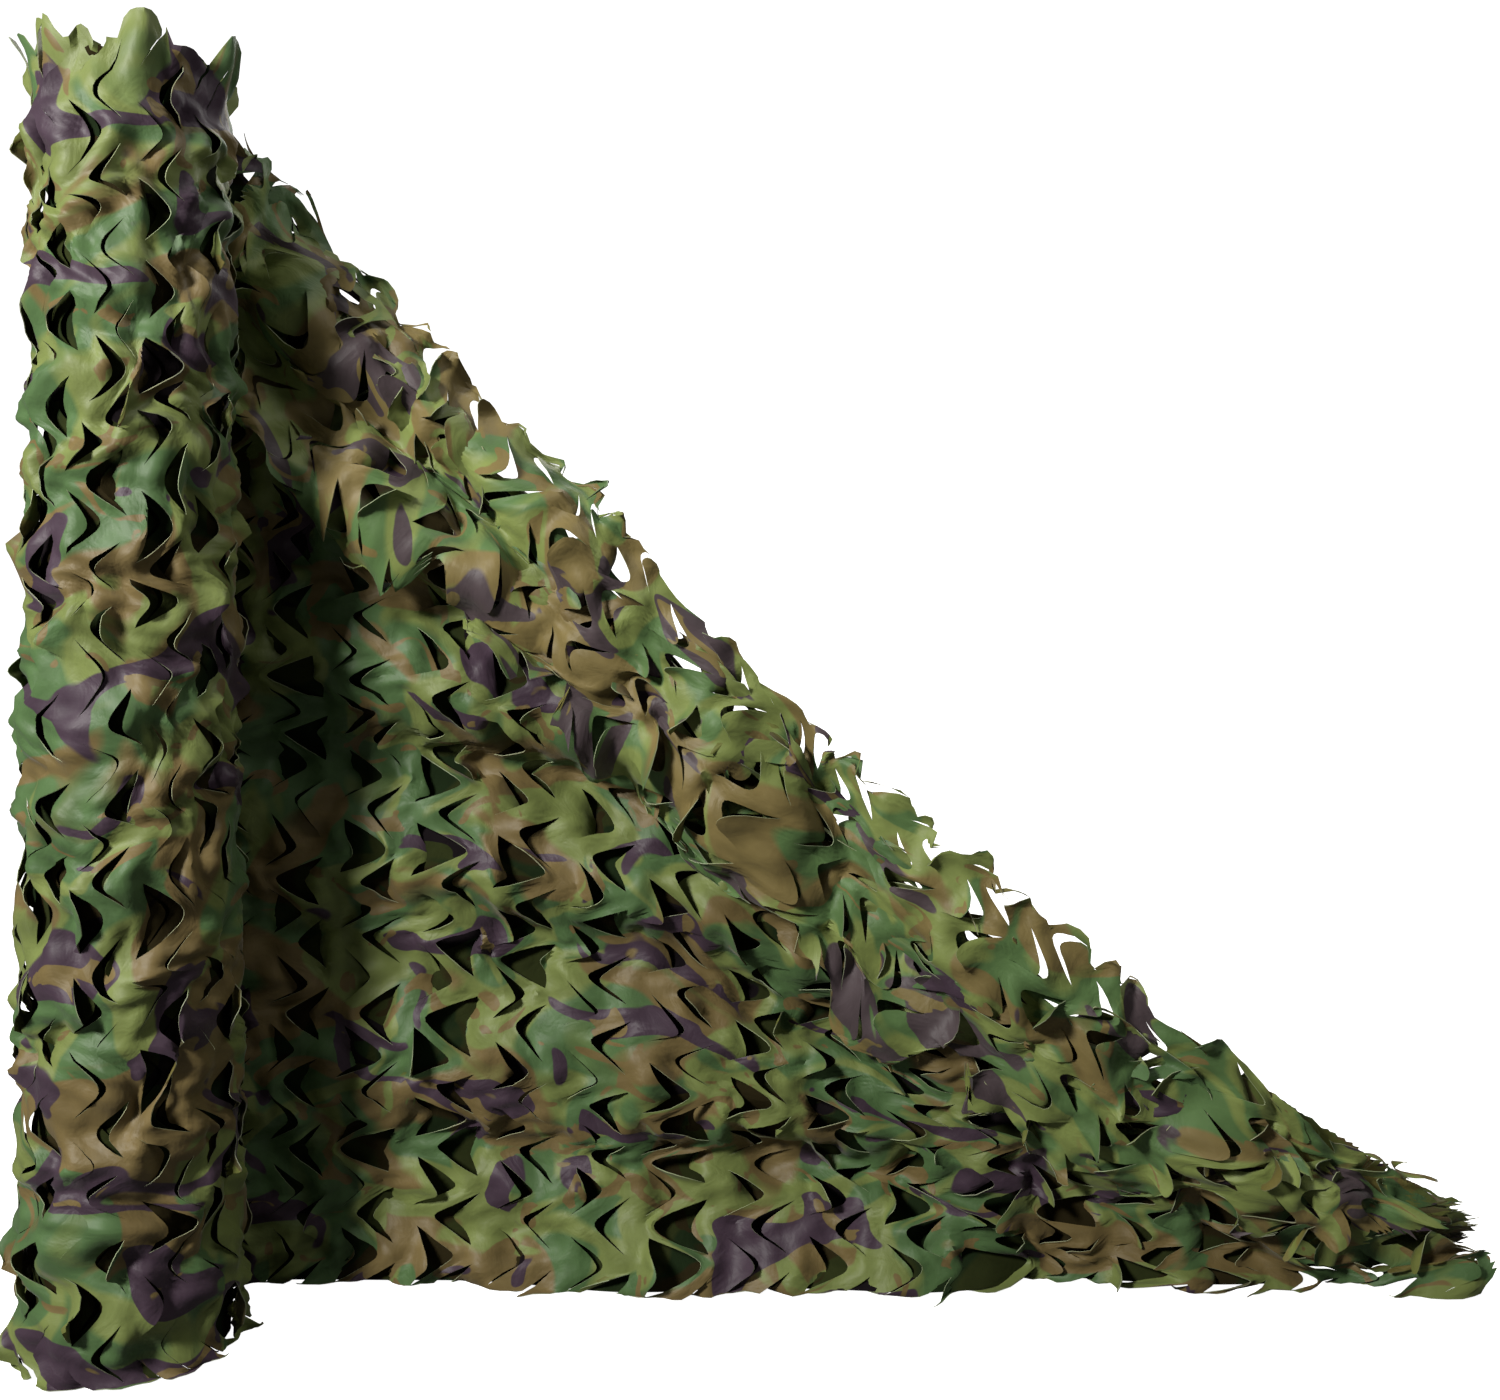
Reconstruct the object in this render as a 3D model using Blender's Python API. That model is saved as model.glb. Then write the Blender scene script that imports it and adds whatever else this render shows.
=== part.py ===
"""A standing roll of leaf-cut camouflage netting with its loose end drawn out to one side.

The roll stands on end on the surface. The outermost turn comes off its back, runs along the surface
towards +X and sinks from the full width of the netting to a low bunched tip, in pleats that close up
on the way. Metres, +Z up, seen from -Y.
"""

from math import cos, pi, radians, sin

import bmesh
import bpy
import numpy as np

# ---- driving dimensions, in metres unless the name says otherwise ----
NET_WIDTH = 1.50  # the width of the netting, and so the height of the roll
CLOTH = 0.0025  # thickness of the drawn-out sheet
CLEARANCE = 0.0005  # between the sheet and the roll under it

ROLL_RADIUS = 0.119  # over the wound cloth, between its leaves
ROLL_TAPER = 0.010  # the foot is wider than the top by this radius
TURN_STEP = CLOTH + CLEARANCE  # drop at the edge of the outermost turn
LEAF_RELIEF = 0.010  # the leaves stand off the roll by this much
ROLL_BANDS = 9  # leaf bands around the roll
ROLL_ROWS = 17  # leaf rows up the roll
ROLL_SIDES = 36
TOP_DISH = 0.014  # the middle of the top end lies lower than its rim
TOP_RAG = 0.010  # the rim of the top end rises and falls with the leaves
BASE_EDGE = 0.010  # radius lost at the foot, where the leaves tuck under

SEAT_START = radians(130)  # the outermost turn ends its round here, measured from +X
SEAT_END = radians(90)  # and leaves the roll here
SEAT_STEPS = 4

TIP_DISTANCE = 1.672  # from the roll's axis to the cut end
SLIT_PITCH = 0.142  # along the sheet, twice the real pitch at most
SLIT_OPEN = 0.017  # width of an open slit
SLIT_SWING = 0.026  # each slit's bend stands out sideways by this much
FIRST_SLIT = 0.150  # from the roll's axis to the first slit
TURN_ARC = 0.0125  # cloth in the round of one closed pleat
STEEPEST = radians(89.4)  # a closed pleat lies this far from upright
LONG_FRONT = 0.25  # the runs that show are longer, and the ones that run back under them shorter, by this share
FRONT_REACH = 0.024  # the pleats stand forward of the sheet's own line by this much, the rest lies behind
HEM_RAG = 0.006  # the leaves at the hem and the top edge end unevenly
HEM_LIFT = 0.0002  # keeps the hem level with the roll's foot

# The top edge of the drawn-out sheet: distance from the roll's axis, height over the surface.
TOP_EDGE = (
    (0.000, 1.500),
    (0.040, 1.499),
    (0.130, 1.425),
    (0.300, 1.233),
    (0.550, 0.983),
    (0.800, 0.730),
    (1.050, 0.512),
    (1.300, 0.325),
    (1.500, 0.188),
    (1.620, 0.118),
    (1.672, 0.098),
)

# The pleats from the hem up: share of the width, how early the pleat closes on the way to the tip.
PLEATS = (
    (1.05, 0.30),
    (0.95, 0.22),
    (1.10, 0.25),
    (0.90, 0.35),
    (1.00, 0.45),
    (1.12, 0.60),
    (0.93, 0.75),
    (1.00, 0.90),
    (1.04, 1.00),
    (0.96, 1.00),
    (0.90, 0.95),
)

# Soft swells of the standing sheet: height of the swell, waves along the sheet, waves up it, start.
SWELLS = (
    (0.010, 1.3, 0.45, 0.4),
    (0.006, 2.6, -0.90, 1.9),
)


def clear_scene():
    """Remove every object, so that the script can be run again."""
    for thing in list(bpy.data.objects):
        bpy.data.objects.remove(thing, do_unlink=True)


def smooth_step(low, high, value):
    """0 below low, 1 above high and a soft rise between."""
    share = np.clip((value - low) / (high - low), 0.0, 1.0)
    return share * share * (3.0 - 2.0 * share)


def zigzag(value):
    """A triangle wave of period 1, from -1 to 1, that is 0 at 0."""
    return 2.0 * abs(2.0 * ((value + 0.25) % 1.0) - 1.0) - 1.0


# ---- the roll ----


def seat_share(angle):
    """1 where the outermost turn lies on the roll, 0 well away from it."""
    rise = smooth_step(radians(58), radians(80), angle)
    fall = 1.0 - smooth_step(SEAT_START, SEAT_START + radians(22), angle)
    return rise * fall


def wound_radius(angle, height):
    """Radius of the wound cloth, less the outermost turn: wider at the foot and not quite round."""
    taper = ROLL_TAPER * (1.0 - height / NET_WIDTH)
    uneven = 0.0016 * sin(2.0 * angle + 3.0 * height) + 0.0012 * sin(3.0 * angle - 5.0 * height + 1.0)
    return ROLL_RADIUS + taper + uneven - TURN_STEP


def leaf_height(angle, height):
    """How far the leaves stand off the roll: zigzag bands that run up it."""
    row = height / NET_WIDTH * ROLL_ROWS
    across = angle / (2.0 * pi) * ROLL_BANDS + 0.22 * zigzag(0.5 * row)
    lift = 0.5 + 0.5 * sin(2.0 * pi * across)
    ripple = 0.65 + 0.35 * cos(2.0 * pi * row)
    return LEAF_RELIEF * lift * ripple


def bare_radius(angle, height):
    """Radius of the roll's surface with its leaves, less the outermost turn."""
    return wound_radius(angle, height) + leaf_height(angle, height) * (1.0 - seat_share(angle))


def turn_share(side):
    """The outermost turn sinks into the roll on its way round, and is gone where the sheet lies on the roll."""
    return max(0.0, 1.0 - (side - 1) / (ROLL_SIDES - SEAT_STEPS))


def roll_ring(height, shrink, rag):
    """The corners of one level of the roll. The first two stand over each other, as the outermost turn's edge."""
    ring = []
    for side in range(ROLL_SIDES + 1):
        angle = SEAT_START + 2.0 * pi * max(side - 1, 0) / ROLL_SIDES
        radius = bare_radius(angle % (2.0 * pi), height) - shrink
        if side:
            radius += TURN_STEP * turn_share(side)
        level = height + rag * zigzag(0.25 * side)
        ring.append((radius * cos(angle), radius * sin(angle), level))
    return ring


def end_ring(outer, share, level, waviness):
    """A ring on an end of the roll, drawn in towards the axis."""
    ring = []
    for index, (x, y, _) in enumerate(outer):
        wave = waviness * sin(2.0 * pi * index / ROLL_SIDES * 3.0 + 4.0 * share)
        ring.append((x * share, y * share, level + wave))
    return ring


def build_roll(material):
    """One solid of the wound netting, flat at its foot and dished at its top."""
    shell = bmesh.new()
    levels = []
    steps = 2 * ROLL_ROWS
    for step in range(steps + 1):
        height = NET_WIDTH * step / steps
        levels.append([height, 0.0, 0.0])
    levels[0][1] = BASE_EDGE
    levels.insert(1, [0.012, 0.0, 0.0])
    levels[-1] = [NET_WIDTH - TOP_RAG, 0.004, TOP_RAG]
    rings = [roll_ring(*level) for level in levels]
    top = rings[-1]
    for share, dish in ((0.86, 0.55), (0.55, 0.80), (0.22, 1.0)):
        rings.append(end_ring(top, share, NET_WIDTH - TOP_RAG - TOP_DISH * dish, 0.002))
    verts = [[shell.verts.new(point) for point in ring] for ring in rings]
    count = ROLL_SIDES + 1
    for low, high in zip(verts, verts[1:]):
        for side in range(count):
            after = (side + 1) % count
            shell.faces.new((low[side], low[after], high[after], high[side]))
    for ring, level, turn in ((verts[0], 0.0, -1), (verts[-1], NET_WIDTH - TOP_RAG - TOP_DISH, 1)):
        middle = shell.verts.new((0.0, 0.0, level))
        for side in range(count):
            after = (side + 1) % count
            shell.faces.new((ring[side], ring[after], middle)[::turn])
    return finish_object("roll", shell, material)


# ---- the drawn-out sheet ----


FINE = np.linspace(0.0, NET_WIDTH, 601)


def open_share(distance):
    """1 where the pleats hang open, 0 where they lie closed on each other at the cut end."""
    return 1.0 - float(smooth_step(0.55, 1.0, distance / TIP_DISTANCE))


def pleat_bounds(distance):
    """Where each pleat starts and ends, as cloth length from the hem. Even ones run back as they rise."""
    shares = np.array([share for share, _ in PLEATS])
    shares[0::2] *= 1.0 + LONG_FRONT * open_share(distance)
    shares[1::2] *= 1.0 - LONG_FRONT * open_share(distance)
    return np.concatenate(([0.0], np.cumsum(shares))) * NET_WIDTH / shares.sum()


def pleat_side(cloth, bounds):
    """+1 on a pleat that runs back, -1 on one that runs forward, and a soft change at each fold."""
    side = np.ones_like(cloth)
    for index, bound in enumerate(bounds[1:-1]):
        turn = np.clip((cloth - bound) / TURN_ARC + 0.5, 0.0, 1.0)
        side = np.where(cloth > bound - 0.5 * TURN_ARC, (-1.0) ** index * (1.0 - 2.0 * turn), side)
    return side


def pleat_readiness(cloth, bounds):
    """How early the cloth at this place starts to close into pleats."""
    middles = 0.5 * (bounds[1:] + bounds[:-1])
    return np.interp(cloth, middles, [early for _, early in PLEATS])


def fold_angles(distance, strength):
    """Angle of the sheet from upright, along a section. Unequal runs hang over, so that the sheet stays upright."""
    bounds = pleat_bounds(distance)
    even = smooth_step(0.35, 1.0, distance / TIP_DISTANCE)
    ready = pleat_readiness(FINE, bounds)
    closed = np.minimum(strength * (ready + (1.0 - ready) * even), STEEPEST)
    hang = np.arctan(LONG_FRONT * open_share(distance) * np.tan(closed))
    return closed * pleat_side(FINE, bounds) - hang


def sheet_height(distance):
    """Height of the sheet's top edge, on a soft curve through the table."""
    knots, heights = (np.array(column) for column in zip(*TOP_EDGE))
    slopes = np.gradient(heights, knots)
    index = int(np.clip(np.searchsorted(knots, distance) - 1, 0, len(knots) - 2))
    span = knots[index + 1] - knots[index]
    t = np.clip((distance - knots[index]) / span, 0.0, 1.0)
    start = (2 * t**3 - 3 * t**2 + 1) * heights[index] + (t**3 - 2 * t**2 + t) * span * slopes[index]
    end = (3 * t**2 - 2 * t**3) * heights[index + 1] + (t**3 - t**2) * span * slopes[index + 1]
    return start + end


def along_section(slopes):
    """Running sum of slopes along the cloth, from the hem up."""
    steps = 0.5 * (slopes[1:] + slopes[:-1]) * (FINE[1] - FINE[0])
    return np.concatenate(([0.0], np.cumsum(steps)))


def fold_strength(distance):
    """The fold angle at which the section is as high as the top edge, found by halving."""
    target = sheet_height(distance)
    low, high = 0.0, 8.0
    for _ in range(30):
        middle = 0.5 * (low + high)
        if along_section(np.cos(fold_angles(distance, middle))).max() > target:
            low = middle
        else:
            high = middle
    return 0.5 * (low + high)


STATIONS = np.linspace(0.0, TIP_DISTANCE, 70)
STRENGTHS = [fold_strength(station) for station in STATIONS]


def swell(distance, height):
    """Soft swells of the standing sheet, none at the roll."""
    total = 0.0
    for size, along, up, start in SWELLS:
        total += size * sin(2.0 * pi * (along * distance + up * height) + start)
    return total * float(smooth_step(0.10, 0.45, distance))


def sheet_section(distance, cloth):
    """Sideways place and height of the cloth at this distance from the roll."""
    angles = fold_angles(distance, np.interp(distance, STATIONS, STRENGTHS))
    sideways = along_section(np.sin(angles))
    upward = along_section(np.cos(angles))
    lift = 0.5 * CLOTH * abs(sin(angles[0])) + HEM_LIFT
    away = float(smooth_step(0.05, 0.35, distance))
    front = sideways.min() + FRONT_REACH * away
    height = float(np.interp(cloth, FINE, upward)) + lift
    return float(np.interp(cloth, FINE, sideways)) - front, height


def sheet_point(distance, cloth):
    """A point of the sheet's middle surface. A distance below 0 lies round the back of the roll."""
    off_roll = TURN_STEP - 0.5 * CLOTH
    if distance < 0.0:
        angle = SEAT_END - distance / ROLL_RADIUS
        _, height = sheet_section(0.0, cloth)
        radius = wound_radius(angle, height) + off_roll
        return radius * cos(angle), radius * sin(angle), height
    sideways, height = sheet_section(distance, cloth)
    rounded = wound_radius(SEAT_END, height)
    settled = ROLL_RADIUS + 0.5 * ROLL_TAPER
    away = float(smooth_step(0.0, 0.5, distance))
    y = rounded + (settled - rounded) * away + off_roll + sideways + swell(distance, height)
    return distance, y, height


def column_lines():
    """Where the sheet's lines run up it: (distance, whether a slit opens to the right of it, sway)."""
    lines = []
    seat_length = (SEAT_START - SEAT_END) * ROLL_RADIUS
    for step in range(SEAT_STEPS + 1):
        start_gap = CLEARANCE if step == 0 else 0.0
        lines.append((start_gap - seat_length * (1.0 - step / SEAT_STEPS), False, 0.0))
    lines.append((0.045, False, 0.0))
    lines.append((0.095, False, 0.3))
    slit = FIRST_SLIT
    while slit < TIP_DISTANCE - 0.6 * SLIT_PITCH:
        lines.append((slit - 0.5 * SLIT_OPEN, True, 1.0))
        lines.append((slit + 0.5 * SLIT_OPEN, False, 1.0))
        slit += SLIT_PITCH
    lines.append((TIP_DISTANCE - SLIT_SWING, False, 1.0))
    return lines


def row_lines(distance):
    """Cloth heights of the sheet's lines across it: (cloth, whether a slit lies above it, bend)."""
    rows = []
    turn = 0.5 * TURN_ARC
    bounds = pleat_bounds(distance)
    for index in range(len(PLEATS)):
        low, high = bounds[index], bounds[index + 1]
        side = -1.0 if index % 2 == 0 else 1.0
        length = high - low
        rows.append((low + (turn if index else 0.0), False, 0.0))
        rows.append((low + 0.20 * length, True, 0.25 * side))
        rows.append((low + 0.50 * length, True, side))
        rows.append((low + 0.80 * length, False, 0.25 * side))
        rows.append((high - (turn if index < len(PLEATS) - 1 else 0.0), False, 0.0))
        if index < len(PLEATS) - 1:
            rows.append((high, False, 0.0))
    return rows


def build_loose_end(material):
    """One sheet of netting in a fan of pleats, its slits cut through."""
    net = bmesh.new()
    columns = column_lines()
    verts = []
    for across, (distance, _, sway) in enumerate(columns):
        rows = row_lines(distance)
        line = []
        for cloth, _, bend in rows:
            rag = HEM_RAG * (across % 2)
            length = min(max(cloth, rag), NET_WIDTH - rag)
            line.append(net.verts.new(sheet_point(distance + sway * bend * SLIT_SWING, length)))
        verts.append(line)
    for across in range(len(columns) - 1):
        for up in range(len(rows) - 1):
            if columns[across][1] and rows[up][1]:
                continue
            corners = (verts[across][up], verts[across + 1][up], verts[across + 1][up + 1], verts[across][up + 1])
            net.faces.new(corners)
    sheet = finish_object("loose_end", net, material)
    thicken = sheet.modifiers.new("thickness", "SOLIDIFY")
    thicken.thickness = CLOTH
    thicken.offset = 0.0
    thicken.use_even_offset = True
    thicken.use_rim = True
    return sheet


# ---- shared ----


def finish_object(name, shape, material):
    """Put a modelled shape in the scene under its name, shaded smooth but for sharp edges."""
    bmesh.ops.recalc_face_normals(shape, faces=shape.faces)
    mesh = bpy.data.meshes.new(name)
    shape.to_mesh(mesh)
    shape.free()
    mesh.materials.append(material)
    mesh.shade_smooth()
    mesh.set_sharp_from_angle(angle=radians(50))
    thing = bpy.data.objects.new(name, mesh)
    bpy.context.collection.objects.link(thing)
    return thing


def cloth_material(name, colour):
    """Printed polyester cloth with a low satin sheen."""
    material = bpy.data.materials.new(name)
    material.use_nodes = True
    surface = material.node_tree.nodes["Principled BSDF"]
    surface.inputs["Base Color"].default_value = (*colour, 1.0)
    surface.inputs["Roughness"].default_value = 0.55
    surface.inputs["Metallic"].default_value = 0.0
    return material


def stand_on_origin(things):
    """Move the pieces together, so that the middle of their foot is the origin."""
    bpy.context.view_layer.update()
    graph = bpy.context.evaluated_depsgraph_get()
    points = []
    for thing in things:
        shown = thing.evaluated_get(graph).to_mesh()
        points += [tuple(vert.co) for vert in shown.vertices]
    low, high = np.min(points, axis=0), np.max(points, axis=0)
    for thing in things:
        thing.location = (-0.5 * (low[0] + high[0]), -0.5 * (low[1] + high[1]), -low[2])


def main():
    clear_scene()
    roll = build_roll(cloth_material("rolled_netting", (0.085, 0.120, 0.045)))
    loose_end = build_loose_end(cloth_material("drawn_out_netting", (0.090, 0.115, 0.050)))
    stand_on_origin([roll, loose_end])


main()
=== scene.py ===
"""Looks of the camouflage net: leaf-cut woodland netting, a standing roll with its loose end drawn out."""

from math import cos, pi, radians, sin

import bpy
import numpy as np
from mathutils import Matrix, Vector


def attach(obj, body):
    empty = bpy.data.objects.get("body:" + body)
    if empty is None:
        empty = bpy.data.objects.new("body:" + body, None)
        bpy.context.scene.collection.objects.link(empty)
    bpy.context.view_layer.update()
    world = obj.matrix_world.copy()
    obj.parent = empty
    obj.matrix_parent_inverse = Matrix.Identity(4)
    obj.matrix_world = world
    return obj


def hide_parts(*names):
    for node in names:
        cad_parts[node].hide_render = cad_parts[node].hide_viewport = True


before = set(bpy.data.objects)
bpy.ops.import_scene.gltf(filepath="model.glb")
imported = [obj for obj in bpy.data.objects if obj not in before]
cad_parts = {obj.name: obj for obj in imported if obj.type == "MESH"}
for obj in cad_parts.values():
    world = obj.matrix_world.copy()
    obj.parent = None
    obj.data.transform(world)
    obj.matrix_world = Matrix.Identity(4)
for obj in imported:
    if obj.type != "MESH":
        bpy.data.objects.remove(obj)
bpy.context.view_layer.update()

# ---- sizes shared with the solids, in metres unless the name says otherwise ----
NET_WIDTH = 1.50
ROLL_RADIUS = 0.119
ROLL_TAPER = 0.010
SHEET_SOLID = 0.0025
TURN_STEP = SHEET_SOLID + 0.0005
SEAT_START = radians(130)
SEAT_END = radians(90)
TIP_DISTANCE = 1.672
TURN_ARC = 0.0125
STEEPEST = radians(89.4)
LONG_FRONT = 0.25
FRONT_REACH = 0.024
ROLL_AXIS = (-0.76820, -0.07696, 0.0)  # where the solids have it
TOP_EDGE = (  # distance from the roll's axis and height of the sheet's top edge
    (0.000, 1.500),
    (0.040, 1.499),
    (0.130, 1.425),
    (0.300, 1.233),
    (0.550, 0.983),
    (0.800, 0.730),
    (1.050, 0.512),
    (1.300, 0.325),
    (1.500, 0.188),
    (1.620, 0.118),
    (1.672, 0.098),
)
PLEATS = (  # share of the net's width and how far the pleat is folded next to the roll
    (1.05, 0.30),
    (0.95, 0.22),
    (1.10, 0.25),
    (0.90, 0.35),
    (1.00, 0.45),
    (1.12, 0.60),
    (0.93, 0.75),
    (1.00, 0.90),
    (1.04, 1.00),
    (0.96, 1.00),
    (0.90, 0.95),
)
SWELLS = (  # size, waves a metre along and up, and where the wave starts
    (0.010, 1.3, 0.45, 0.4),
    (0.006, 2.6, -0.90, 1.9),
)

# ---- the cut of the netting ----
CLOTH = 0.0009  # thickness of the netting itself
ROWS = 17  # slit rows over the width
CUT_RISE = 0.42  # share of a row in which the zigzag runs up to the right
CUT_SWING = 0.49  # how far the zigzag swings sideways, in columns
RIGHT_CUT = 0.54  # the line of the slits that bend to the right, in columns
ROLL_PITCH = 0.073  # a column of the cut where the netting is slack
DRAWN_PITCH = 0.101  # and where it is drawn out
PITCH_EASE = 3.0  # columns over which the one turns into the other
COLUMN_STEPS = (0.0, 0.11, 0.22, 0.33, 0.44, RIGHT_CUT, 0.66, 0.78, 0.89)
LOW_STEPS = (0.0, 0.045, 0.10, 0.17, 0.25, 0.34, 0.38)
HIGH_STEPS = (0.465, 0.52, 0.58, 0.66, 0.74, 0.82, 0.89, 0.95)
ROW_STEPS = (*LOW_STEPS, CUT_RISE, *HIGH_STEPS)
LEFT_SLIT = (-0.42, 0.34)  # from its bend: how far a slit that bends to the left runs down and up, in rows
RIGHT_SLIT = (-0.32, 0.40)
LEAF = 0.42  # length of the leaf inside a bend, in columns
SLIT_SIDE = 0.58  # an open slit moves the netting this far to each side, in columns
LIP_SIDE = 0.52  # and its lips part less and less, down to nothing here
LIP_SHARES = (0.45, 0.55)  # of a slit's opening: the leaf's own lip, and the one beside it
LIP_GIVE = 0.10  # the lip beside a leaf goes the other way by this share of the leaf's length
MOST_CURL = 2.2  # radians
MOST_LEAN = 0.8
LEAST_CURL = 0.02  # below it a leaf counts as this much curled, so that nothing is divided by 0
STAND = 0.034  # leaves stand off the cloth by less than this
LEAST_FACES = 40  # a loose scrap with fewer faces is left out
LEAST_STRIP = 0.015  # nothing is kept where less than this is left between the trimmed edges
FLOOR_CLEARANCE = 0.0012

# ---- the loose edges ----
RAG_DEPTH = 0.42  # rows over which an uneven edge fades into the cloth
FLAP_DEPTH = 0.60  # and rows over which the roll's flaps do
FLAP_FOOT = 0.011  # the roll's top edge is raised by at least this, and more by its flaps
TOP_FLAPS = (  # place and half width in columns, height in metres and lean
    (-0.40, 0.40, 0.020, 0.3),
    (-1.35, 0.45, 0.030, -0.4),
    (-2.30, 0.40, 0.020, 0.5),
    (-3.20, 0.42, 0.034, 0.5),
    (-4.05, 0.50, 0.040, 0.2),
    (-4.90, 0.20, 0.026, -0.5),
    (-5.90, 0.46, 0.044, 0.1),
    (-6.75, 0.30, 0.016, -0.3),
    (-7.65, 0.38, 0.050, 0.5),
    (-8.50, 0.40, 0.020, -0.3),
    (-9.40, 0.45, 0.032, 0.5),
    (-10.30, 0.40, 0.020, 0.0),
)
BAND_DEPTH = 0.26  # the band along the drawn-out end's top edge
BAND_GAP = 0.009  # and how far it lies in front of the front
BAND_FOOT = ROWS - 5  # it has the last five rows of the cut, from this one up
BAND_PITCH = 0.065  # height of a row there
ROW_PITCHES = (  # distance from the roll's axis, and a row's height there as a share of that at the roll
    (0.00, 1.00),
    (0.30, 0.98),
    (0.60, 0.86),
    (0.95, 0.62),
    (1.30, 0.50),
    (1.70, 0.40),
)
HEM_REACH = 0.036  # how far the hem comes out towards the camera
PLEATS_END = 1.36  # the pleats reach this far from the roll's axis
TIP_START = 1.28  # and the bunched cut end starts here

# ---- the camera, fitted to the photograph ----
CAMERA_FROM_AXIS = (0.7344, -1.768, 0.880)
CAMERA_LENS = 35.6  # mm, for a frame 36 mm wide
CAMERA_DROP = -100 / 1500  # the photograph's middle lies this much of its width under the horizon


def smooth_step(low, high, value):
    """0 below low, 1 above high and a soft rise between."""
    share = np.clip((value - low) / (high - low), 0.0, 1.0)
    return share * share * (3.0 - 2.0 * share)


# ---- the form of the drawn-out end, as in the solids ----

FINE = np.linspace(0.0, NET_WIDTH, 601)


def open_share(distance):
    """1 where the pleats hang open, 0 where they lie closed on each other at the cut end."""
    return 1.0 - smooth_step(0.55, 1.0, distance / TIP_DISTANCE)


def pleat_bounds(distance):
    """Where each pleat starts and ends, as cloth length from the hem."""
    shares = np.array([share for share, _ in PLEATS])
    shares[0::2] *= 1.0 + LONG_FRONT * open_share(distance)
    shares[1::2] *= 1.0 - LONG_FRONT * open_share(distance)
    return np.concatenate(([0.0], np.cumsum(shares))) * NET_WIDTH / shares.sum()


def pleat_side(cloth, bounds):
    """+1 on a pleat that runs back, -1 on one that runs forward, and a soft change at each fold."""
    side = np.ones_like(cloth)
    for index, bound in enumerate(bounds[1:-1]):
        turn = np.clip((cloth - bound) / TURN_ARC + 0.5, 0.0, 1.0)
        side = np.where(cloth > bound - 0.5 * TURN_ARC, (-1.0) ** index * (1.0 - 2.0 * turn), side)
    return side


def fold_angles(distance, strength):
    """Angle of the sheet from upright, along a section at this distance from the roll."""
    bounds = pleat_bounds(distance)
    even = smooth_step(0.35, 1.0, distance / TIP_DISTANCE)
    ready = np.interp(FINE, 0.5 * (bounds[1:] + bounds[:-1]), [early for _, early in PLEATS])
    closed = np.minimum(strength * (ready + (1.0 - ready) * even), STEEPEST)
    hang = np.arctan(LONG_FRONT * open_share(distance) * np.tan(closed))
    return closed * pleat_side(FINE, bounds) - hang


def sheet_height(distance):
    """Height of the sheet's top edge, on a soft curve through the table."""
    knots, heights = (np.array(column) for column in zip(*TOP_EDGE))
    slopes = np.gradient(heights, knots)
    index = int(np.clip(np.searchsorted(knots, distance) - 1, 0, len(knots) - 2))
    span = knots[index + 1] - knots[index]
    t = np.clip((distance - knots[index]) / span, 0.0, 1.0)
    start = (2 * t**3 - 3 * t**2 + 1) * heights[index] + (t**3 - 2 * t**2 + t) * span * slopes[index]
    end = (3 * t**2 - 2 * t**3) * heights[index + 1] + (t**3 - t**2) * span * slopes[index + 1]
    return start + end


def along_section(slopes):
    """Running sum of slopes along the cloth, from the hem up."""
    steps = 0.5 * (slopes[1:] + slopes[:-1]) * (FINE[1] - FINE[0])
    return np.concatenate(([0.0], np.cumsum(steps)))


def fold_strength(distance):
    """The fold angle at which the section is as high as the top edge, found by halving."""
    target = sheet_height(distance)
    low, high = 0.0, 8.0
    for _ in range(24):
        middle = 0.5 * (low + high)
        if along_section(np.cos(fold_angles(distance, middle))).max() > target:
            low = middle
        else:
            high = middle
    return 0.5 * (low + high)


def swell(distance, height):
    """Soft swells of the standing sheet, none at the roll."""
    total = 0.0
    for size, along, up, start in SWELLS:
        total = total + size * np.sin(2.0 * pi * (along * distance + up * height) + start)
    return total * smooth_step(0.10, 0.45, distance)


def wound_radius(angle, height):
    """Radius of the wound cloth, less the outermost turn: wider at the foot and not quite round."""
    taper = ROLL_TAPER * (1.0 - height / NET_WIDTH)
    uneven = 0.0016 * np.sin(2.0 * angle + 3.0 * height)
    uneven = uneven + 0.0012 * np.sin(3.0 * angle - 5.0 * height + 1.0)
    return ROLL_RADIUS + taper + uneven - TURN_STEP


def between(grid, across, up):
    """What a grid holds at places between its points. across and up count its steps."""
    i = np.minimum(across.astype(int), grid.shape[0] - 2)
    j = np.minimum(up.astype(int), grid.shape[1] - 2)
    s, t = across - i, up - j
    if grid.ndim == 3:
        s, t = s[:, None], t[:, None]
    near = grid[i, j] * (1 - t) + grid[i, j + 1] * t
    far = grid[i + 1, j] * (1 - t) + grid[i + 1, j + 1] * t
    return near * (1 - s) + far * s


def stand_off(middle, distance, height, lift, step):
    """Points that stand off a surface by lift, towards the camera's side where it is positive."""
    along = middle(distance + step, height) - middle(distance - step, height)
    up = middle(distance, height + step) - middle(distance, height - step)
    normal = np.cross(along, up)
    normal /= np.linalg.norm(normal, axis=1)[:, None] + 1e-12
    return middle(distance, height) + normal * lift[:, None]


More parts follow.
